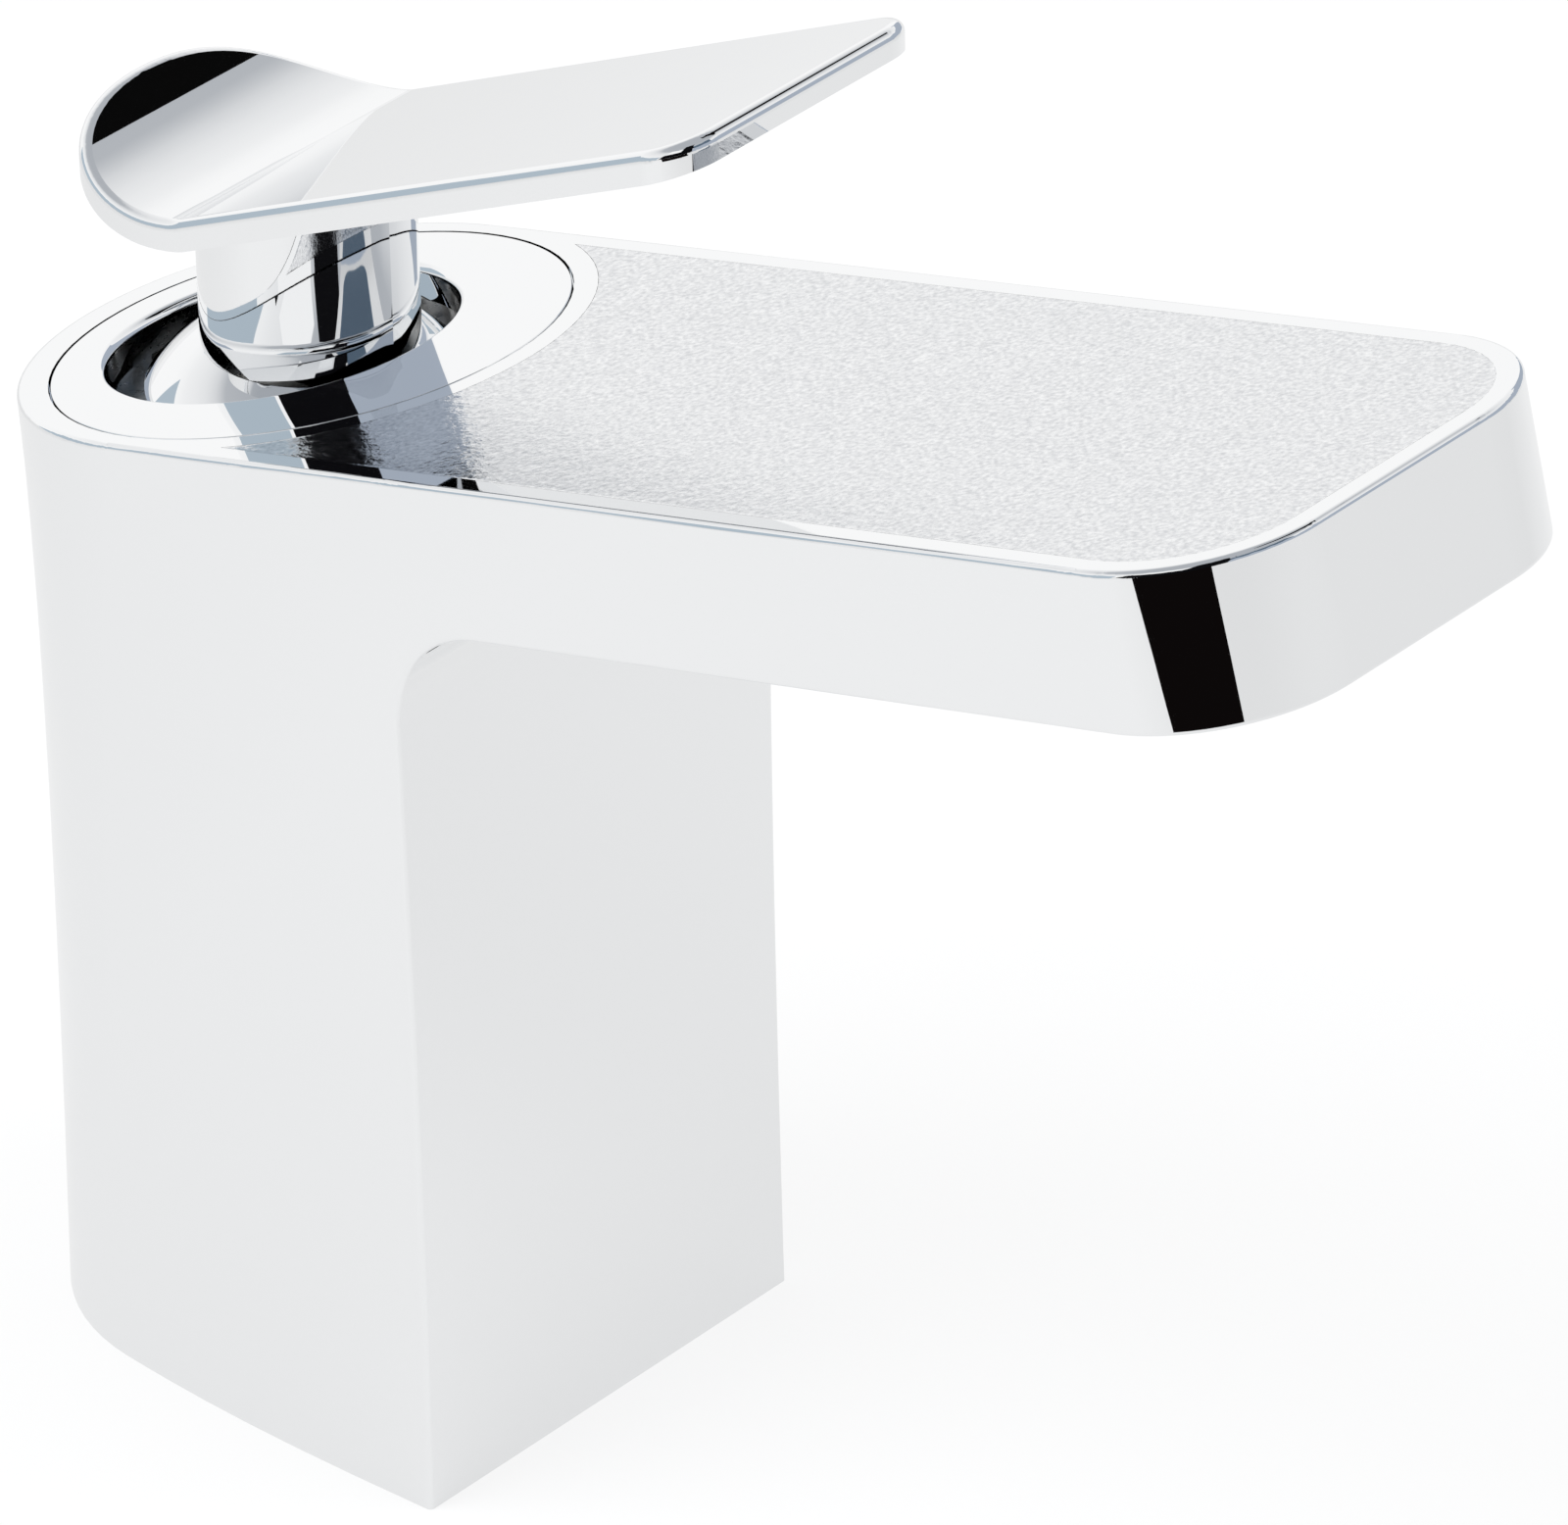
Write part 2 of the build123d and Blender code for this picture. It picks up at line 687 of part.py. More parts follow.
with BuildPart() as grub_screw:
    with BuildSketch(Plane.YZ.offset(-spindle_size / 2)):
        with Locations((0, screw_height)):
            Circle(screw_radius)
    extrude(amount=-screw_length)
    with BuildSketch(Plane.YZ.offset(-spindle_size / 2 - screw_length)):
        with Locations((0, screw_height)):
            RegularPolygon(radius=screw_key / 2, side_count=6, major_radius=False)
    extrude(amount=screw_key_depth, mode=Mode.SUBTRACT)
finish(grub_screw, "grub_screw")

with BuildPart() as screw_plug:
    with BuildSketch(Plane.XY.offset(screw_height - stem_radius)):
        Circle(stem_radius)
    extrude(amount=2 * stem_radius)
    with BuildSketch(Plane.YZ.offset(-spindle_size / 2 - screw_length)):
        with Locations((0, screw_height)):
            Circle(plug_radius)
    extrude(amount=-stem_radius, mode=Mode.INTERSECT)
finish(screw_plug, "screw_plug")

# Outlet pieces, screwed up into the underside of the spout
lip_inside = aerator_inside - aerator_lip
screen_top = aerator_lip + screen_thickness
insert_height = aerator_height - screen_top
with BuildPart() as aerator_housing:
    plate(outlet.offset(aerator_height), aerator_radius, aerator_height)
    plate(outlet.offset(aerator_height), aerator_inside, aerator_height - aerator_lip, Mode.SUBTRACT)
    plate(outlet.offset(aerator_height), lip_inside, aerator_height, Mode.SUBTRACT)
    with BuildSketch(outlet):
        with PolarLocations(aerator_radius, aerator_keys):
            Rectangle(aerator_wall + aerator_lip, aerator_key_width)
    extrude(amount=aerator_lip, mode=Mode.SUBTRACT)
finish(aerator_housing, "aerator_housing")

with BuildPart() as aerator_screen:
    plate(outlet.offset(screen_top), aerator_inside - insert_gap, screen_thickness)
    with BuildSketch(outlet.offset(screen_top)):
        with HexLocations(screen_pitch / 2, screen_rows, screen_rows):
            RegularPolygon(radius=screen_hole, side_count=6)
    extrude(amount=-screen_thickness, mode=Mode.SUBTRACT)
finish(aerator_screen, "aerator_screen")

with BuildPart() as aerator_insert:
    plate(outlet.offset(aerator_height), aerator_inside - insert_gap, insert_height)
    plate(outlet.offset(aerator_height), insert_cup_radius, insert_cup_depth, Mode.SUBTRACT)
    with BuildSketch(outlet.offset(aerator_height)):
        with PolarLocations(insert_hole_circle, insert_holes):
            Circle(insert_hole_radius)
        Circle(insert_hole_radius)
    extrude(amount=-insert_height, mode=Mode.SUBTRACT)
finish(aerator_insert, "aerator_insert")

with BuildPart() as aerator_seal:
    ring(outlet.offset(outlet_depth), aerator_radius, lip_inside, aerator_seal_height)
finish(aerator_seal, "aerator_seal")

print("pivot height", round(pivot_height, 3), "hole offset", round(hole_offset, 3))
print("port x", round(port_x, 3), "rest shift", round(rest_shift, 3))
print("inlet floor", round(floor_height, 3), "cartridge base", fixed_bottom, "bore", bore_depth)
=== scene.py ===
from math import cos, pi, radians, sin

import bpy
import numpy as np
from mathutils import Matrix, Vector


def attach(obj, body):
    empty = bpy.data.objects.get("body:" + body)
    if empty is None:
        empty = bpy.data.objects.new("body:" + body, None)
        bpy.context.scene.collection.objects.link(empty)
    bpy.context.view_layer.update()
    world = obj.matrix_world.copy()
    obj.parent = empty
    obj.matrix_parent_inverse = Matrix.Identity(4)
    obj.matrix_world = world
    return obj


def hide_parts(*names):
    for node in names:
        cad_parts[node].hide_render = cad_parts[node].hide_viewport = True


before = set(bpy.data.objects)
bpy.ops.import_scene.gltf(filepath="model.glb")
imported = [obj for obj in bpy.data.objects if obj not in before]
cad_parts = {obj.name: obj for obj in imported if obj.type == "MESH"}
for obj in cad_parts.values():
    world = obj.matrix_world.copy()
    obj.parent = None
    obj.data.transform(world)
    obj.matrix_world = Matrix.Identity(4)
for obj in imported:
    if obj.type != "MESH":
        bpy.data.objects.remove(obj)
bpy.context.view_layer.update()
millimetre = 0.001

# Camera of the photograph, placed in millimetres
cameraView = {
    "place": (772.0, -833.3, 715.9),
    "looksAlong": (-0.5644, 0.6533, -0.5051),
    "upward": (-0.3120, 0.3975, 0.8629),
    "lens": 348.66,
    "sensor": 36.0,
    "clipEnd": 20.0,  # metres
}


def makeCamera(values):
    camera = bpy.data.cameras.new("camera")
    camera.lens = values["lens"]
    camera.sensor_width = values["sensor"]
    camera.clip_end = values["clipEnd"]
    body = bpy.data.objects.new("camera", camera)
    forward = Vector(values["looksAlong"]).normalized()
    right = forward.cross(Vector(values["upward"])).normalized()
    up = right.cross(forward)
    turn = Matrix((right, up, -forward)).transposed().to_4x4()
    body.matrix_world = Matrix.Translation(Vector(values["place"]) * millimetre) @ turn
    bpy.context.collection.objects.link(body)
    bpy.context.scene.camera = body


makeCamera(cameraView)
bpy.context.scene.view_settings.view_transform = "Standard"
print("camera set")


# Studio: a pale floor, soft lamps, and a tent that mirror rays see white low down and greyer overhead
studioValues = {
    "floorColour": (0.90, 0.905, 0.91),
    "floorWidth": 12.0,
    "floorShow": 0.8,  # share of the floor that camera rays see as plain white
    "floorInChrome": 0.845,  # the floor as chrome shows it near the tap
    "floorAtSides": -0.12,  # how that tone changes to the left and right
    "sideReach": (0.06, 0.3),  # metres aside where the change starts and ends
    "floorFarBehind": 0.3,  # how it changes far behind the lever
    "behindLever": (-0.755, 0.656, 0),
    "behindReach": (0.4, 1.3),
    "fillColour": (0.97, 0.985, 1.0),
    "tentFill": 0.62,  # light of the tent on matt surfaces
    "tentTones": (  # elevation in degrees and the tone that chrome shows there
        (0, 1.0), (15, 1.0), (21, 0.97), (26, 0.92), (32, 0.88), (37, 0.83),
        (40, 0.78), (43, 0.71), (45, 0.63), (48, 0.5), (60, 0.46), (90, 0.46),
    ),
    "tentBlue": (0.04, 0.06),  # red taken away and blue added as the tone falls to nothing
}


def whiteRays(nodes, links):
    # 1 for the rays that should see the background: camera, glossy and transmission rays,
    # and, apart, 1 for the glossy and transmission rays alone
    path = nodes.new("ShaderNodeLightPath").outputs
    mirrored = mathNode(nodes, links, "MAXIMUM", path["Is Glossy Ray"], path["Is Transmission Ray"])
    seen = mathNode(nodes, links, "MAXIMUM", path["Is Camera Ray"], mirrored.outputs[0])
    return seen.outputs[0], mirrored.outputs[0]


def spreadOver(nodes, links, source, low, high, reading=(0.0, 1.0)):
    spread = nodes.new("ShaderNodeMapRange")
    spread.inputs["From Min"].default_value, spread.inputs["From Max"].default_value = reading
    spread.inputs["To Min"].default_value = low
    spread.inputs["To Max"].default_value = high
    links.new(source, spread.inputs["Value"])
    return spread.outputs["Result"]


def blankMaterial(name):
    material = bpy.data.materials.new(name)
    material.use_nodes = True
    nodes, links = material.node_tree.nodes, material.node_tree.links
    nodes.clear()
    return material, nodes, links


def mathNode(nodes, links, operation, first, second=None):
    node = nodes.new("ShaderNodeMath")
    node.operation = operation
    links.new(first, node.inputs[0])
    if second is not None:
        links.new(second, node.inputs[1])
    return node


def whiteUnlessMirrored(nodes, links, tone, mirrored):
    # White for the camera and the given tone for mirror rays
    mix = nodes.new("ShaderNodeMix")
    mix.data_type = "RGBA"
    mix.inputs["A"].default_value = (1, 1, 1, 1)
    links.new(tone, mix.inputs["B"])
    links.new(mirrored, mix.inputs["Factor"])
    return mix.outputs["Result"]


def mixToOutput(nodes, links, share, first, second, outputKind):
    mix = nodes.new("ShaderNodeMixShader")
    links.new(share, mix.inputs[0])
    links.new(first.outputs[0], mix.inputs[1])
    links.new(second.outputs[0], mix.inputs[2])
    out = nodes.new(outputKind)
    links.new(mix.outputs[0], out.inputs["Surface"])


def makeWorld(values):
    world = bpy.data.worlds.new("tent")
    bpy.context.scene.world = world
    world.use_nodes = True
    nodes, links = world.node_tree.nodes, world.node_tree.links
    nodes.clear()
    fill = nodes.new("ShaderNodeBackground")
    fill.inputs["Color"].default_value = (*values["fillColour"], 1)
    fill.inputs["Strength"].default_value = values["tentFill"]
    direction = nodes.new("ShaderNodeTexCoord")
    parts = nodes.new("ShaderNodeSeparateXYZ")
    links.new(direction.outputs["Generated"], parts.inputs[0])
    ramp = nodes.new("ShaderNodeValToRGB")
    links.new(parts.outputs["Z"], ramp.inputs["Fac"])
    while len(ramp.color_ramp.elements) < len(values["tentTones"]):
        ramp.color_ramp.elements.new(0.5)
    lessRed, moreBlue = values["tentBlue"]
    for element, (rise, tone) in zip(ramp.color_ramp.elements, values["tentTones"]):
        element.position = sin(radians(rise))
        element.color = (tone - lessRed * (1 - tone), tone, tone + moreBlue * (1 - tone), 1)
    seen, mirrored = whiteRays(nodes, links)
    white = nodes.new("ShaderNodeBackground")
    links.new(whiteUnlessMirrored(nodes, links, ramp.outputs["Color"], mirrored), white.inputs["Color"])
    mixToOutput(nodes, links, seen, fill, white, "ShaderNodeOutputWorld")


def floorTone(nodes, links, values):
    # Near tone, plus a change with the distance to either side, plus one with the distance far behind the
    # lever. It stops at 1, which is white.
    place = nodes.new("ShaderNodeTexCoord")
    parts = nodes.new("ShaderNodeSeparateXYZ")
    links.new(place.outputs["Object"], parts.inputs[0])
    aside = mathNode(nodes, links, "ABSOLUTE", parts.outputs["X"])
    behind = nodes.new("ShaderNodeVectorMath")
    behind.operation = "DOT_PRODUCT"
    behind.inputs[1].default_value = values["behindLever"]
    links.new(place.outputs["Object"], behind.inputs[0])
    back = behind.outputs["Value"]
    sides = spreadOver(nodes, links, aside.outputs[0], 0, values["floorAtSides"], values["sideReach"])
    far = spreadOver(nodes, links, back, 0, values["floorFarBehind"], values["behindReach"])
    both = mathNode(nodes, links, "ADD", sides, far)
    total = mathNode(nodes, links, "ADD", both.outputs[0])
    total.use_clamp = True
    total.inputs[1].default_value = values["floorInChrome"]
    return total.outputs[0]


def makeFloor(values):
    half = values["floorWidth"] / 2
    mesh = bpy.data.meshes.new("floor")
    corners = [(-half, -half, 0), (half, -half, 0), (half, half, 0), (-half, half, 0)]
    mesh.from_pydata(corners, [], [(0, 1, 2, 3)])
    floor = bpy.data.objects.new("floor", mesh)
    bpy.context.collection.objects.link(floor)
    material, nodes, links = blankMaterial("palePaper")
    paper = nodes.new("ShaderNodeBsdfDiffuse")
    paper.inputs["Color"].default_value = (*values["floorColour"], 1)
    seen, mirrored = whiteRays(nodes, links)
    glow = nodes.new("ShaderNodeEmission")
    tone = whiteUnlessMirrored(nodes, links, floorTone(nodes, links, values), mirrored)
    links.new(tone, glow.inputs["Color"])
    share = mathNode(nodes, links, "MULTIPLY", seen)
    share.inputs[1].default_value = values["floorShow"]
    mixToOutput(nodes, links, share.outputs[0], paper, glow, "ShaderNodeOutputMaterial")
    mesh.materials.append(material)


lampValues = {
    "aim": (0.02, 0, 0.06),
    "keyLamp": {"place": (-0.3, -0.5, 0.9), "size": 0.7, "power": 7.0},
    "fillLamp": {"place": (0.8, 0.3, 0.7), "size": 0.9, "power": 5.0},
}


def softLamp(name, values):
    place, aim = Vector(values[name]["place"]), Vector(values["aim"])
    lamp = bpy.data.lights.new(name, "AREA")
    lamp.shape = "SQUARE"
    lamp.size = values[name]["size"]
    lamp.energy = values[name]["power"]
    body = bpy.data.objects.new(name, lamp)
    body.location = place
    body.rotation_euler = (aim - place).to_track_quat("-Z", "Y").to_euler()
    body.visible_glossy = False
    bpy.context.collection.objects.link(body)


makeWorld(studioValues)
makeFloor(studioValues)
for lampName in ("keyLamp", "fillLamp"):
    softLamp(lampName, lampValues)


# Flags that only mirror rays see, round the tap: part of a wall between two bearings b and two elevations e,
# x = r cos b, y = r sin b, z = eye + r tan e. The table end is flat, between two bearings and two radii about
# its own centre, and its near edge swings out as near + round * t^3, with t from 0 at the right to 1 at the
# left. Bearings and elevations are in degrees.
flagValues = {
    "eye": 0.08,
    "wallRadius": 2.0,
    "bearingSteps": 73,
    "riseSteps": 9,
    "frontCurtain": {"bearings": (-96, -27), "rises": (-2.2, 27), "tone": (0.004, 0.004, 0.005)},
    "cameraShade": {"bearings": (-56, -24), "rises": (27, 60), "tone": (0.005, 0.005, 0.006)},
    "softBox": {"bearings": (-94, -60), "rises": (30, 47), "tone": (1.0, 1.0, 1.0)},
    "leftWall": {"bearings": (-180, -100), "rises": (-2.2, 20), "tone": (0.45, 0.53, 0.60)},
    "rightWall": {"bearings": (-27, 118), "rises": (-2.2, 25), "tone": (0.40, 0.45, 0.53)},
    "bluePanel": {"bearings": (-24, 24), "rises": (25, 45), "tone": (0.11, 0.155, 0.21)},
    "roofFlag": {"bearings": (60, 98), "rises": (47.5, 75), "tone": (0.003, 0.003, 0.003)},
    "tableEnd": {"bearings": (-92, -34), "radii": (0.21, 1.85), "tone": (0.004, 0.003, 0.003)},
    "tableCentre": (0.112, -0.02),
    "tableHeight": 0.0015,
    "tableRound": 0.12,  # how much farther the near edge of the table end lies at its left bearing
}


def flagPoints(values, flag):
    bearing = np.radians(np.linspace(*flag["bearings"], values["bearingSteps"]))
    if "radii" in flag:
        near, far = flag["radii"]
        t = (bearing[-1] - bearing) / (bearing[-1] - bearing[0])
        inner = near + values["tableRound"] * t**3
        r = np.stack([inner, np.full_like(inner, far)])
        b = np.broadcast_to(bearing, r.shape)
        x, y = values["tableCentre"]
        z = np.full_like(r, values["tableHeight"])
        return np.stack([x + r * np.cos(b), y + r * np.sin(b), z], axis=-1)
    rise = np.radians(np.linspace(*flag["rises"], values["riseSteps"]))
    e, b = np.meshgrid(rise, bearing, indexing="ij")
    r = np.full_like(e, values["wallRadius"])
    return np.stack([r * np.cos(b), r * np.sin(b), values["eye"] + r * np.tan(e)], axis=-1)


def makeFlag(name, values):
    flag = gridPiece(name, flagPoints(values, values[name]))
    flag.visible_camera = flag.visible_diffuse = flag.visible_transmission = False
    flag.visible_shadow = flag.visible_volume_scatter = False
    material, nodes, links = blankMaterial(name)
    glow = nodes.new("ShaderNodeEmission")
    glow.inputs["Color"].default_value = (*values[name]["tone"], 1)
    out = nodes.new("ShaderNodeOutputMaterial")
    links.new(glow.outputs[0], out.inputs["Surface"])
    flag.data.materials.append(material)


def gridPiece(name, points, others=(), closed=False):
    # A mesh from a grid of points, with four-sided faces between neighbours and any other faces given. A
    # closed grid also joins its last row to its first and its last column to its first.
    rows, columns = points.shape[:2]
    index = np.arange(rows * columns).reshape(rows, columns)
    if closed:
        index = np.pad(index, ((0, 1), (0, 1)), mode="wrap")
    faces = np.stack([index[:-1, :-1], index[1:, :-1], index[1:, 1:], index[:-1, 1:]], axis=-1).reshape(-1, 4)
    mesh = bpy.data.meshes.new(name)
    mesh.from_pydata(points.reshape(-1, 3).tolist(), [], faces.tolist() + list(others))
    piece = bpy.data.objects.new(name, mesh)
    bpy.context.collection.objects.link(piece)
    return piece


def smoothPiece(piece, sharpAngle):
    piece.data.shade_smooth()
    piece.data.set_sharp_from_angle(angle=radians(sharpAngle))


for flagName in [key for key in flagValues if isinstance(flagValues[key], dict)]:
    makeFlag(flagName, flagValues)
print("studio ready")


# Finishes. Each reads Object coordinates, so it stays on its piece when the lever moves. Pitches are in waves
# per metre, and relief is in metres.
chromeValues = {
    "colour": (0.92, 0.926, 0.932),
    "roughness": 0.02,
    "roughnessSpread": 0.016,
    "wavePitch": 55.0,  # waves per metre of the slow ripple that polishing leaves
    "waveDepth": 0.00001,
    "detail": 3.0,
}
mottleValues = {"detail": 4.0, "reading": (0.3, 0.7)}  # the part of the noise that spans both tones


def cloudNoise(nodes, links, pitch, detail):
    place = nodes.new("ShaderNodeTexCoord")
    cloud = nodes.new("ShaderNodeTexNoise")
    cloud.inputs["Scale"].default_value = pitch
    cloud.inputs["Detail"].default_value = detail
    links.new(place.outputs["Object"], cloud.inputs["Vector"])
    return cloud.outputs["Fac"]


def addRelief(nodes, links, source, depth, shader):
    relief = nodes.new("ShaderNodeBump")
    relief.inputs["Distance"].default_value = depth
    links.new(source, relief.inputs["Height"])
    links.new(relief.outputs["Normal"], shader.inputs["Normal"])


def polishedChrome(name, values):
    # Mirror chrome with a cloudy roughness and a very slow ripple
    material = bpy.data.materials.new(name)
    material.use_nodes = True
    nodes, links = material.node_tree.nodes, material.node_tree.links
    shader = nodes["Principled BSDF"]
    shader.inputs["Metallic"].default_value = 1.0
    shader.inputs["Base Color"].default_value = (*values["colour"], 1)
    cloud = cloudNoise(nodes, links, values["wavePitch"], values["detail"])
    half = values["roughnessSpread"] / 2
    low, high = values["roughness"] - half, values["roughness"] + half
    links.new(spreadOver(nodes, links, cloud, low, high), shader.inputs["Roughness"])
    addRelief(nodes, links, cloud, values["waveDepth"], shader)
    return material


def mottledFinish(name, values):
    # Plastic, rubber, ceramic or bare metal: two near tones mixed by a noise, which also moves the roughness
    material = bpy.data.materials.new(name)
    material.use_nodes = True
    nodes, links = material.node_tree.nodes, material.node_tree.links
    shader = nodes["Principled BSDF"]
    shader.inputs["Metallic"].default_value = values["metallic"]
    noise = cloudNoise(nodes, links, values["pitch"], mottleValues["detail"])
    cloud = spreadOver(nodes, links, noise, 0, 1, mottleValues["reading"])
    tone = nodes.new("ShaderNodeMix")
    tone.data_type = "RGBA"
    tone.inputs["A"].default_value = (*values["darker"], 1)
    tone.inputs["B"].default_value = (*values["lighter"], 1)
    links.new(cloud, tone.inputs["Factor"])
    links.new(tone.outputs["Result"], shader.inputs["Base Color"])
    links.new(spreadOver(nodes, links, cloud, *values["roughness"]), shader.inputs["Roughness"])
    addRelief(nodes, links, cloud, values["relief"], shader)
    return material


def dress(material, *names):
    for name in names:
        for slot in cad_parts[name].material_slots:
            slot.material = material


nickelPlate = {
    "metallic": 1.0, "darker": (0.60, 0.595, 0.58), "lighter": (0.74, 0.73, 0.71), "pitch": 900.0,
    "roughness": (0.26, 0.36), "relief": 0.000002,
}
plainSteel = {
    "metallic": 1.0, "darker": (0.56, 0.56, 0.57), "lighter": (0.68, 0.68, 0.69), "pitch": 1100.0,
    "roughness": (0.2, 0.34), "relief": 0.00001,
}
paleNylon = {
    "metallic": 0.0, "darker": (0.70, 0.70, 0.68), "lighter": (0.80, 0.80, 0.78), "pitch": 700.0,
    "roughness": (0.38, 0.5), "relief": 0.00002,
}
greyNylon = {
    "metallic": 0.0, "darker": (0.22, 0.225, 0.235), "lighter": (0.31, 0.315, 0.325), "pitch": 800.0,
    "roughness": (0.4, 0.55), "relief": 0.00002,
}
whiteCeramic = {
    "metallic": 0.0, "darker": (0.82, 0.81, 0.79), "lighter": (0.88, 0.87, 0.85), "pitch": 600.0,
    "roughness": (0.14, 0.24), "relief": 0.000005,
}
blackRubber = {
    "metallic": 0.0, "darker": (0.018, 0.018, 0.019), "lighter": (0.035, 0.035, 0.037), "pitch": 1400.0,
    "roughness": (0.6, 0.8), "relief": 0.00003,
}

chromeNames = {
    "body_casting": "bodyChrome", "cover_ring": "ringChrome", "dome_shroud": "domeChrome",
    "lever": "leverChrome", "screw_plug": "plugChrome", "aerator_housing": "outletChrome",
}
for node, finishName in chromeNames.items():
    dress(polishedChrome(finishName, chromeValues), node)
dress(mottledFinish("nickelPlate", nickelPlate), "cartridge_nut")
dress(mottledFinish("plainSteel", plainSteel), "spindle", "spindle_pin", "grub_screw")
dress(mottledFinish("paleNylon", paleNylon), "cartridge_housing", "cartridge_base", "turret", "disc_carrier")
dress(mottledFinish("greyNylon", greyNylon), "aerator_screen", "aerator_insert")
dress(mottledFinish("whiteCeramic", whiteCeramic), "fixed_disc", "moving_disc")
dress(
    mottledFinish("blackRubber", blackRubber), "base_seal", "ring_seal", "cartridge_top_seal", "port_seals",
    "aerator_seal",
)
print("finishes on", len(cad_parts), "nodes")


deckValues = {"slope": 13.25, "height": 95.1}  # degrees, and millimetres at the lever's axis


def onDeck(u, v, rise, values):
    # u runs up the sloping deck, v across it and rise straight out of it:
    # x = u cos s - rise sin s, y = v, z = height + u sin s + rise cos s
    slope = radians(values["slope"])
    x = u * cos(slope) - rise * sin(slope)
    z = values["height"] + u * sin(slope) + rise * cos(slope)
    return np.stack([x, v, z], axis=-1) * millimetre


# Grained panel on top of the spout, in the plane of the deck. For each v the points run from the arc round
# the ring to the front edge with its round corners. The top lies just under the plane by a random grain, and
# the border drops to the seat.
panelValues = {
    "spoutLength": 121.3,
    "topWidth": 50.0,
    "rim": 2.3,
    "gap": 0.02,
    "corner": 14.0,
    "ringClearance": 25.0,
    "depth": 1.19,
    "pitch": 0.27,  # distance between points
    "cornerCrowding": 1.6,  # how many times closer the points stand round a corner
    "grainPitch": 0.26,
    "grainHeight": 0.006,
    "grainDrop": 3.5,  # grain heights by which the whole top lies under the plane
    "edgeBlend": 0.3,
    "sharpAngle": 50.0,
    "seed": 11,
}


def acrossPanel(half, corner, values):
    # Even steps over the straight middle, then even angles round each corner: v = straight + corner * sin(a)
    straight = half - corner
    turn = np.sin(np.linspace(0, pi / 2, int(corner / values["pitch"] * values["cornerCrowding"])))
    middle = np.linspace(-straight, straight, int(2 * straight / values["pitch"]))
    return np.concatenate([-(straight + corner * turn[:0:-1]), middle, straight + corner * turn[1:]])


def grainAt(u, v, pitch, seed):
    # Random heights on a square lattice, evened 1-2-1 both ways and read between its points by distance
    alongLattice, acrossLattice = u / pitch, (v - v.min()) / pitch
    size = int(alongLattice.max()) + 2, int(acrossLattice.max()) + 2
    grain = np.random.default_rng(seed).normal(size=size)
    for axis in (0, 1):
        grain = (np.roll(grain, 1, axis) + 2 * grain + np.roll(grain, -1, axis)) / 4
    grain /= grain.std()
    i, j = alongLattice.astype(int), acrossLattice.astype(int)
    s, t = alongLattice - i, acrossLattice - j
    near = grain[i, j] * (1 - s) + grain[i + 1, j] * s
    far = grain[i, j + 1] * (1 - s) + grain[i + 1, j + 1] * s
    return near * (1 - t) + far * t


def makePanel(name, values):
    inset = values["rim"] + values["gap"]
    half = values["topWidth"] / 2 - inset
    corner = values["corner"] - inset
    v = acrossPanel(half, corner, values)
    rear = np.sqrt((values["ringClearance"] + values["gap"]) ** 2 - v**2)
    intoCorner = np.clip(np.abs(v) - (half - corner), 0, corner)
    front = values["spoutLength"] - inset - corner + np.sqrt(corner**2 - intoCorner**2)
    share = np.linspace(1, 0, int((front.max() - rear.min()) / values["pitch"]))
    u = rear[:, None] + (front - rear)[:, None] * share
    v = np.broadcast_to(v[:, None], u.shape)
    toEdge = np.minimum.reduce([u - rear[:, None], front[:, None] - u, half - np.abs(v)])
    blend = np.clip(toEdge / values["edgeBlend"], 0, 1)
    grain = grainAt(u, v, values["grainPitch"], values["seed"])
    height = values["grainHeight"] * (grain - values["grainDrop"]) * blend
    top = np.stack([u, v, np.minimum(height, 0)], axis=-1)
    shell = np.pad(top, ((1, 1), (1, 1), (0, 0)), mode="edge")
    wall = np.ones(shell.shape[:2], bool)
    wall[1:-1, 1:-1] = False
    shell[wall, 2] = -values["depth"]
    points = onDeck(shell[..., 0], shell[..., 1], shell[..., 2], deckValues)
    index = np.arange(wall.size).reshape(wall.shape)
    seat = np.concatenate([index[0, :-1], index[:-1, -1], index[-1, :0:-1], index[:0:-1, 0]])
    piece = gridPiece(name, points, [seat.tolist()])
    smoothPiece(piece, values["sharpAngle"])
    return piece


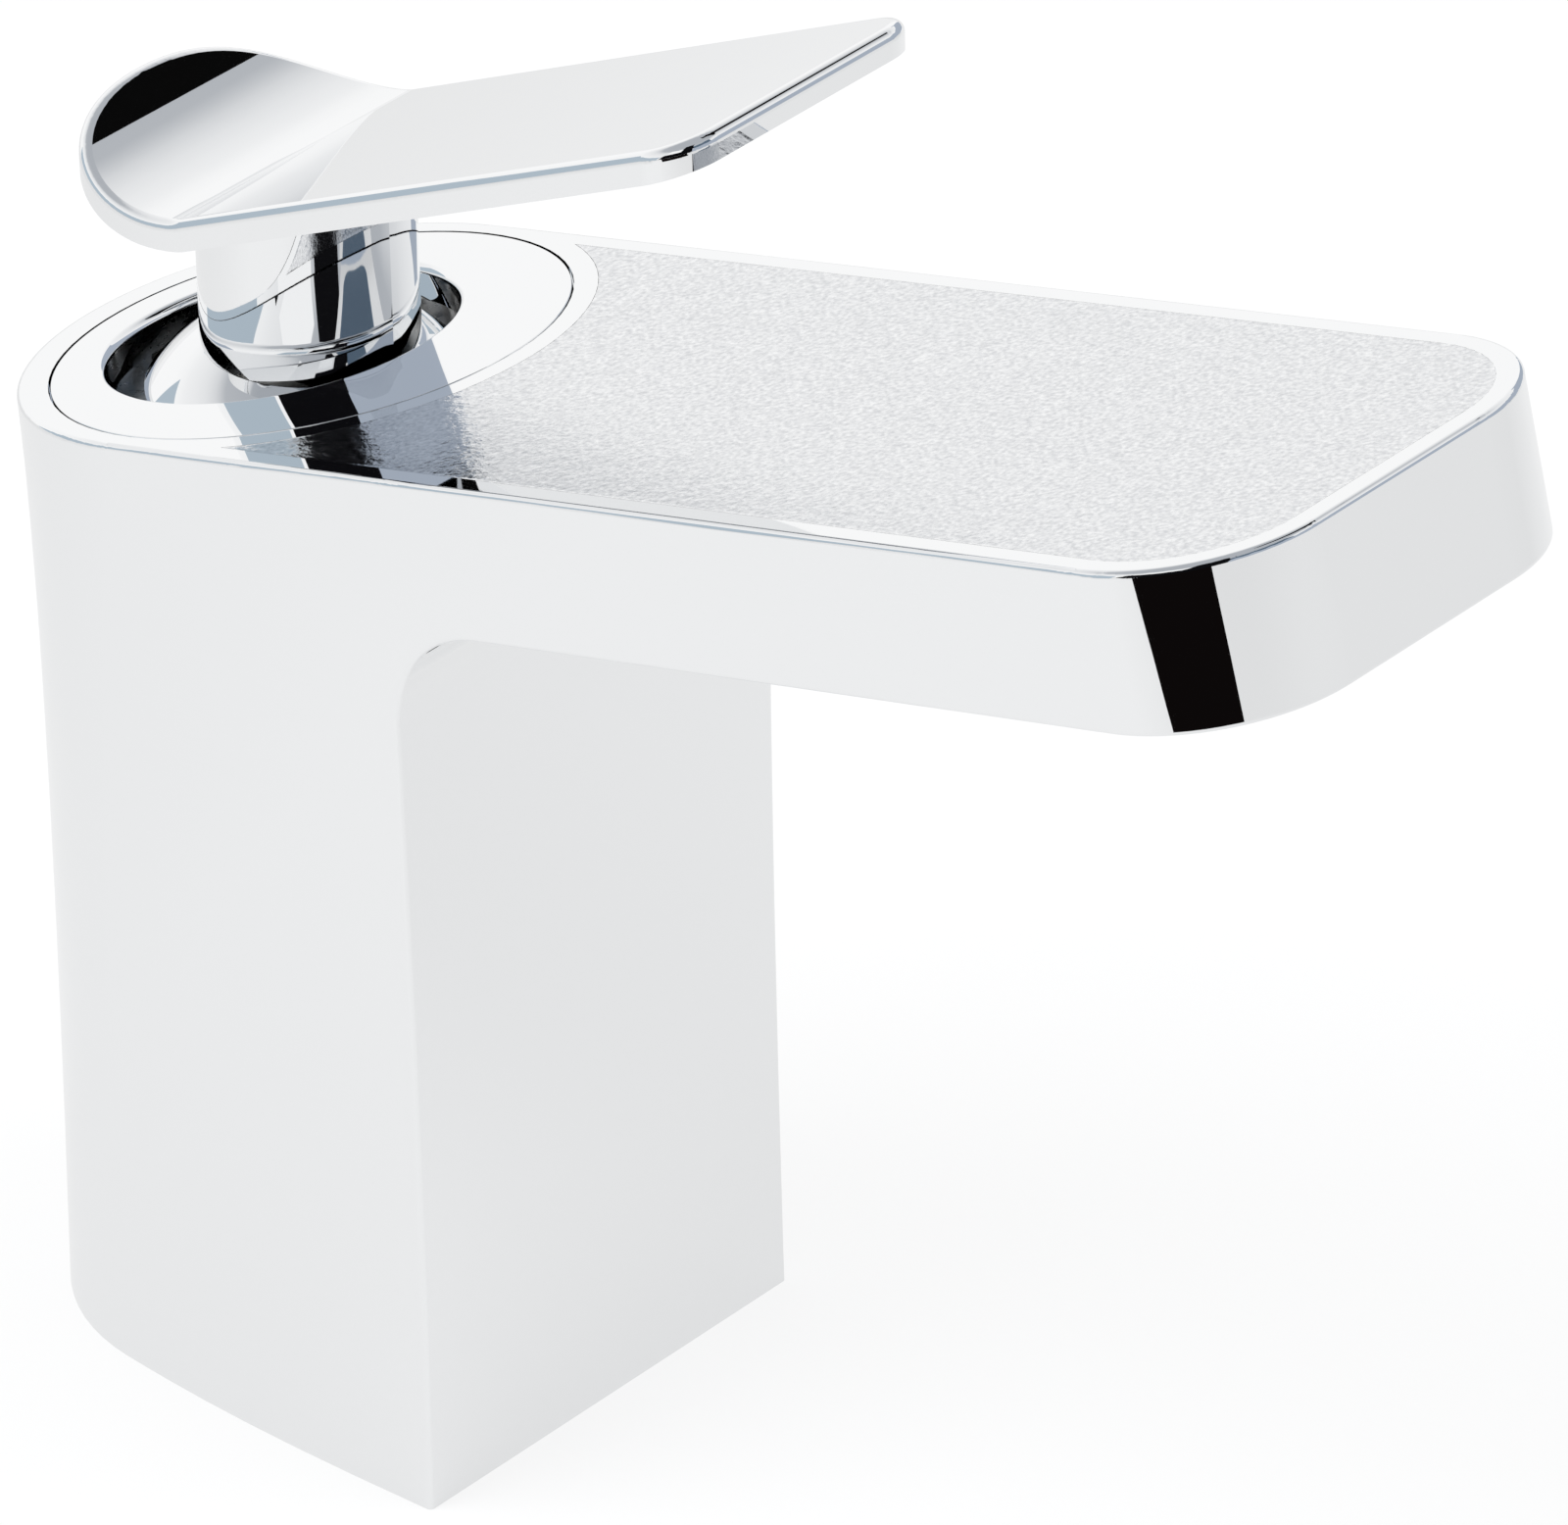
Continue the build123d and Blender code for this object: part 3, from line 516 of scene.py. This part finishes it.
# Painted glints: the grained metal's tone is speckled from dark to bright by a fine noise, standing in for
# the glitter of its grain, while the grain relief and roughness also vary with it
paintedGlintValues = {
    "metallic": 1.0, "darker": (0.62, 0.63, 0.65), "lighter": (0.93, 0.935, 0.94), "pitch": 2300.0,
    "roughness": (0.06, 0.14), "relief": 0.000012,
}
panel = makePanel("grainedPanel", panelValues)
panel.data.materials.append(mottledFinish("paintedGlintChrome", paintedGlintValues))
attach(panel, "body")
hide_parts("textured_inlay")
# The hidden inlay gets the same painted glints in its speckled tone
dress(mottledFinish("inlayPaintedGlintChrome", paintedGlintValues), "textured_inlay")
print("panel", len(panel.data.polygons), "faces")


# Cover ring: circles joined row by row. A point of a row is centre + radius * (cos a, sin a) at one depth
# under the deck. The hole and skirt are centred a little behind the plate, and both upper edges are quarter
# rounds.
coverValues = {
    "radius": 22.7,
    "edge": 0.12,
    "plate": 3.2,
    "holeRadius": 15.4,
    "holeCentre": -3.508,
    "lip": 0.8,
    "skirtRadius": 18.7,
    "skirtWall": 1.4,
    "skirtBottom": 8.0,
    "groove": (5.4, 7.4),
    "grooveDepth": 0.7,
    "steps": 360,
    "roundSteps": 14,
    "sharpAngle": 40.0,
}


def makeCover(name, values):
    turn = np.linspace(0, pi / 2, values["roundSteps"])
    centre, hole, lip, edge = values["holeCentre"], values["holeRadius"], values["lip"], values["edge"]
    skirt, plate, radius = values["skirtRadius"], values["plate"], values["radius"]
    top, bottom = values["groove"]
    inGroove = skirt - values["grooveDepth"]
    rows = [(centre, hole, plate)]
    rows += [(centre, hole + lip * (1 - cos(t)), lip * (1 - sin(t))) for t in turn]
    rows += [(0, radius - edge * (1 - sin(t)), edge * (1 - cos(t))) for t in turn]
    rows += [(0, radius, plate), (centre, skirt, plate), (centre, skirt, top), (centre, inGroove, top)]
    rows += [(centre, inGroove, bottom), (centre, skirt, bottom), (centre, skirt, values["skirtBottom"])]
    rows += [(centre, skirt - values["skirtWall"], depth) for depth in (values["skirtBottom"], plate)]
    rows = np.array(rows)
    a = np.linspace(0, 2 * pi, values["steps"], endpoint=False)
    u = rows[:, :1] + rows[:, 1:2] * np.cos(a)
    v = rows[:, 1:2] * np.sin(a)
    rise = -np.broadcast_to(rows[:, 2:], u.shape)
    piece = gridPiece(name, onDeck(u, v, rise, deckValues), closed=True)
    smoothPiece(piece, values["sharpAngle"])
    return piece


cover = makeCover("coverRing", coverValues)
cover.data.materials.append(polishedChrome("coverChrome", chromeValues))
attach(cover, "body")
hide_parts("cover_ring")
print("cover ring", len(cover.data.polygons), "faces")
